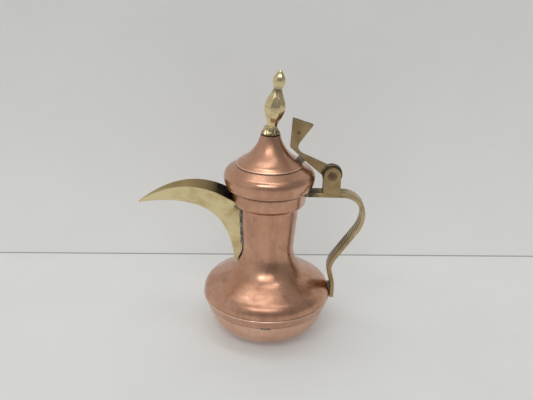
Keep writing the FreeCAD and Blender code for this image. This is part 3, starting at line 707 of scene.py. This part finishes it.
drop = {"spot": (0.6, -49.4, 25.3), "size": (4.0, 0.6, 0.85), "lumps": 0.22, "lumpsAcross": 5, "lumpsUp": 4}
dropMesh = bmesh.new()
bmesh.ops.create_icosphere(dropMesh, subdivisions=3, radius=mm)
for vert in dropMesh.verts:
    lump = math.sin(vert.co.x / mm * drop["lumpsAcross"]) * math.cos(vert.co.z / mm * drop["lumpsUp"])
    vert.co *= 1 + drop["lumps"] * lump
bmesh.ops.scale(dropMesh, vec=drop["size"], verts=dropMesh.verts[:])
bmesh.ops.translate(dropMesh, vec=Vector(drop["spot"]) * mm, verts=dropMesh.verts[:])
addPiece("bellyDrop", dropMesh, solderGrey, "pot")
softCopy("footSolder", "handle_foot_solder", solderGrey, "pot", soft=0.25)
print("solder ready")


# Cast brass handle and hinge pin
softCopy("castHandle", "handle", strapBrass, "pot", soft=0.45)
softCopy("hingePin", "hinge_pin", pinCopper, "pot", soft=0.15)
print("handle ready")


# Copper lid: the lower ring, the bell with its rounded lip, and what they carry
ring = {
    "start": (34.1, 127.2),
    "moves": [("line", 34.1, 128.4), ("arc", 22.002, 135.446, 29.2, 12), ("arc", 28.5, 135.2, 60, 24),
              ("line", 22.8, 147.15)],
    "sheet": 1.0, "soft": 0.3,
}
turnedSheet("lidRing", ring, lidCopper, "lid", ["lid_ring"])

bell = {
    "start": (25.95, 145.2),
    "moves": [("arc", 25.95, 145.75, 150, 8), ("line", 25.0, 147.1), ("line", 23.6, 148.39),
              ("arc", 38.0, 175.84, -50.12, 40), ("line", 1.85, 169.29)],
    "sheet": 0.5, "soft": 0.2,
}
turnedSheet("lidBell", bell, bellCopper, "lid", ["lid_bell"])
softCopy("lidFlange", "lid_flange", lidCopper, "lid", soft=0.2)
softCopy("liftArm", "lid_arm", armBrass, "lid", soft=0.4)
softCopy("armSolder", "arm_solder", solderGrey, "lid", soft=0.4)
softCopy("tangWasher", "finial_washer", sheetBrass, "lid", soft=0.15)
print("lid ready")


# Finial: eight facets along a leaning line, over a flared foot with ribs
finial = {
    "sides": 8, "lean": 7.3, "base": 169.3, "soft": 0.6, "softAngle": 28,
    "rows": [(1.7, 3.9), (6.0, 4.2), (7.4, 4.25), (8.8, 4.4), (10.4, 4.95), (12.1, 5.7), (13.7, 6.4),
             (15.3, 7.05), (17.0, 7.65), (18.8, 8.2), (20.3, 8.55), (21.8, 8.65), (23.3, 8.5), (24.8, 8.15),
             (26.3, 7.65), (27.8, 7.0), (29.4, 6.25), (31.0, 5.45), (32.6, 4.65), (34.2, 3.9), (35.4, 3.4),
             (36.2, 3.3), (37.0, 3.55), (38.2, 4.15), (39.6, 4.7), (41.2, 5.1), (42.6, 5.15), (44.0, 4.75),
             (45.5, 4.05), (47.0, 3.15), (48.4, 2.1), (49.4, 1.2), (49.9, 0.6)],  # height and radius
}
stemMesh = bmesh.new()
last = finial["rows"][0]
bmesh.ops.create_circle(stemMesh, cap_ends=False, segments=finial["sides"], radius=last[1] * mm,
                        matrix=Matrix.Translation((0, 0, last[0] * mm))
                        @ Matrix.Rotation(math.pi / finial["sides"], 4, "Z"))
rim = stemMesh.edges[:]
for row in finial["rows"][1:]:
    grown = bmesh.ops.extrude_edge_only(stemMesh, edges=rim)["geom"]
    corners = [item for item in grown if isinstance(item, bmesh.types.BMVert)]
    rim = [item for item in grown if isinstance(item, bmesh.types.BMEdge) and
           all(corner in corners for corner in item.verts)]
    bmesh.ops.scale(stemMesh, vec=(row[1] / last[1], row[1] / last[1], 1), verts=corners)
    bmesh.ops.translate(stemMesh, vec=(0, 0, (row[0] - last[0]) * mm), verts=corners)
    last = row
bmesh.ops.holes_fill(stemMesh, edges=stemMesh.edges[:], sides=finial["sides"])
bmesh.ops.transform(stemMesh, verts=stemMesh.verts[:],
                    matrix=Matrix.Translation((0, 0, finial["base"] * mm))
                    @ Matrix.Rotation(math.radians(finial["lean"]), 4, "Y"))
stem = addPiece("finialStem", stemMesh, finialBrass, "lid", ["finial"])
addSoftEdges(stem, finial["soft"], finial["softAngle"])

foot = {
    "start": (2.5, 169.5),
    "moves": [("line", 7.0, 169.5), ("line", 7.1, 170.3), ("line", 6.6, 171.5), ("line", 5.6, 173.2),
              ("line", 4.95, 174.8), ("line", 4.8, 175.8), ("line", 3.6, 176.0)],
    "ribs": 18, "stepsPerRib": 4, "ribDepth": 0.14, "ribLow": 170.0, "ribHigh": 175.4, "ribTwist": 0.05,
    "soft": 0.18, "sharp": 60,
}
footMesh = bmesh.new()
drawProfile(footMesh, foot["start"], foot["moves"])
turnProfile(footMesh, foot["ribs"] * foot["stepsPerRib"])
for vert in footMesh.verts:
    if foot["ribLow"] * mm < vert.co.z < foot["ribHigh"] * mm:
        twist = (vert.co.z / mm - foot["ribLow"]) * foot["ribTwist"]
        turn = math.atan2(vert.co.y, vert.co.x) + twist
        swell = 1 + foot["ribDepth"] * abs(math.sin(turn * foot["ribs"] / 2)) - foot["ribDepth"] / 2
        vert.co.x *= swell
        vert.co.y *= swell
flare = addPiece("finialFoot", footMesh, finialBrass, "lid", ["finial_foot"], foot["sharp"])
addSoftEdges(flare, foot["soft"])
print("finial ready")


# Stage: floor, wall, light and camera
stage = {
    "floorColour": (0.73, 0.73, 0.715), "floorFront": (0.6, 0.6, 0.59), "floorGlow": 0.17, "floorSpan": 14.0,
    "wallLow": (0.76, 0.76, 0.745), "wallHigh": (0.66, 0.66, 0.645), "wallFoot": (0.3, 0.295, 0.285),
    "wallGlow": 0.21, "wallSpan": 3.0, "wallHeight": 0.5, "wallY": 0.129, "wallTurn": 2.25,
    "riseReach": (0.0, 0.3), "frontReach": (-0.15, -0.34), "footReach": (0.0006, 0.0014, 1, 0),
    "clouds": {"scale": 9, "low": 0.3, "high": 0.75}, "cloudTone": (0.97, 0.97, 0.97), "rough": 0.7,
}


def frontOnly(tree, shader):
    # Clear from behind, so that the wall never hides the pot
    facing = addNode(tree, "ShaderNodeNewGeometry")
    clear = addNode(tree, "ShaderNodeBsdfTransparent")
    sides = addNode(tree, "ShaderNodeMixShader")
    tree.links.new(facing.outputs["Backfacing"], sides.inputs[0])
    tree.links.new(shader.outputs[0], sides.inputs[1])
    tree.links.new(clear.outputs[0], sides.inputs[2])
    tree.links.new(sides.outputs[0], tree.nodes["Material Output"].inputs["Surface"])


def stageMaterial(name, low, high, glow, foot=None, front=None):
    material, tree, shader = newMaterial(name, metallic=0.0)
    axes = objectAxes(tree)[1]
    clouds = place(tree, cloudGroup, "Mask", **stage["clouds"])
    # On the wall this is painted light: lighter low down, darker up high
    tone = mixColour(tree, ranged(tree, axes[2], *stage["riseReach"]), low, high)
    tone = mixColour(tree, clouds, tone, stage["cloudTone"], "MULTIPLY")
    if front:  # dimmer towards the viewer
        tone = mixColour(tree, ranged(tree, axes[1], *stage["frontReach"]), tone, front)
    if foot:  # the wall, with painted shadow in a thin dark line along the floor
        tone = mixColour(tree, ranged(tree, axes[2], *stage["footReach"]), tone, foot)
        frontOnly(tree, shader)
    tree.links.new(tone, shader.inputs["Base Color"])
    shader.inputs["Roughness"].default_value = stage["rough"]
    tree.links.new(tone, shader.inputs["Emission Color"])
    shader.inputs["Emission Strength"].default_value = glow
    return material


floorMesh = bmesh.new()
bmesh.ops.create_grid(floorMesh, x_segments=1, y_segments=1, size=stage["floorSpan"])
floorPale = stageMaterial("floorPale", stage["floorColour"], stage["floorColour"], stage["floorGlow"],
                          front=stage["floorFront"])
floor = addPiece("floor", floorMesh, floorPale, None)

wallMesh = bmesh.new()
bmesh.ops.create_grid(wallMesh, x_segments=1, y_segments=1, size=stage["wallSpan"],
                      matrix=Matrix.Translation((0, stage["wallY"], 0))
                      @ Matrix.Rotation(math.radians(stage["wallTurn"]), 4, "Z")
                      @ Matrix.Rotation(math.pi / 2, 4, "X")
                      @ Matrix.Diagonal((1, stage["wallHeight"] / stage["wallSpan"], 1, 1)))
wallPale = stageMaterial("wallPale", stage["wallLow"], stage["wallHigh"], stage["wallGlow"],
                         foot=stage["wallFoot"])
wall = addPiece("backdrop", wallMesh, wallPale, None)
if wall.data.polygons[0].normal.y > 0:  # its front faces the camera
    wall.data.flip_normals()

# Soft room light, dimmer from the handle side and from behind the camera
room = {
    "colour": (0.97, 0.985, 1.0, 1), "spoutSide": 0.62, "handleSide": 0.3, "acrossReach": (-0.6, 0.8),
    "front": 0.6, "frontReach": (-0.95, -0.5),
}
world = bpy.data.worlds.new("softRoom")
scene.world = world
world.use_nodes = True
sky = world.node_tree
background = sky.nodes["Background"]
background.inputs["Color"].default_value = room["colour"]
toward = addNode(sky, "ShaderNodeTexCoord")
compass = addNode(sky, "ShaderNodeSeparateXYZ")
sky.links.new(toward.outputs["Generated"], compass.inputs[0])
across = ranged(sky, compass.outputs[0], *room["acrossReach"], room["spoutSide"], room["handleSide"])
front = ranged(sky, compass.outputs[1], *room["frontReach"], room["front"], 1)
sky.links.new(times(sky, across, front), background.inputs["Strength"])

lamps = {
    "skylight": {"spot": (-0.06, -0.1, 1.5), "size": (1.4, 0.32), "power": 3.2},
    "frontWindow": {"spot": (-0.12, -0.98, 1.24), "size": (1.0, 0.36), "power": 4.2},
}
lampTarget = Vector((0, 0, 0.1))
for name, settings in lamps.items():
    lamp = bpy.data.lights.new(name, "AREA")
    lamp.shape = "RECTANGLE"
    lamp.size, lamp.size_y = settings["size"]
    lamp.energy = settings["power"]
    holder = bpy.data.objects.new(name, lamp)
    aim = (lampTarget - Vector(settings["spot"])).to_track_quat("-Z", "Y")
    holder.matrix_world = Matrix.Translation(settings["spot"]) @ aim.to_matrix().to_4x4()
    scene.collection.objects.link(holder)

shot = {
    "sensor": 36, "focalPixels": 680, "framePixels": 533, "spot": (-0.00189, -0.5033, 0.3208),
    "tilt": 67.7, "roll": 1.44,
}
camera = bpy.data.cameras.new("photoView")
camera.lens = shot["sensor"] * shot["focalPixels"] / shot["framePixels"]
camera.sensor_width = shot["sensor"]
camera.sensor_fit = "HORIZONTAL"
holder = bpy.data.objects.new("photoView", camera)
holder.matrix_world = (Matrix.Translation(shot["spot"]) @ Matrix.Rotation(math.radians(shot["tilt"]), 4, "X")
                       @ Matrix.Rotation(math.radians(shot["roll"]), 4, "Z"))
scene.collection.objects.link(holder)
scene.camera = holder
print("stage ready")
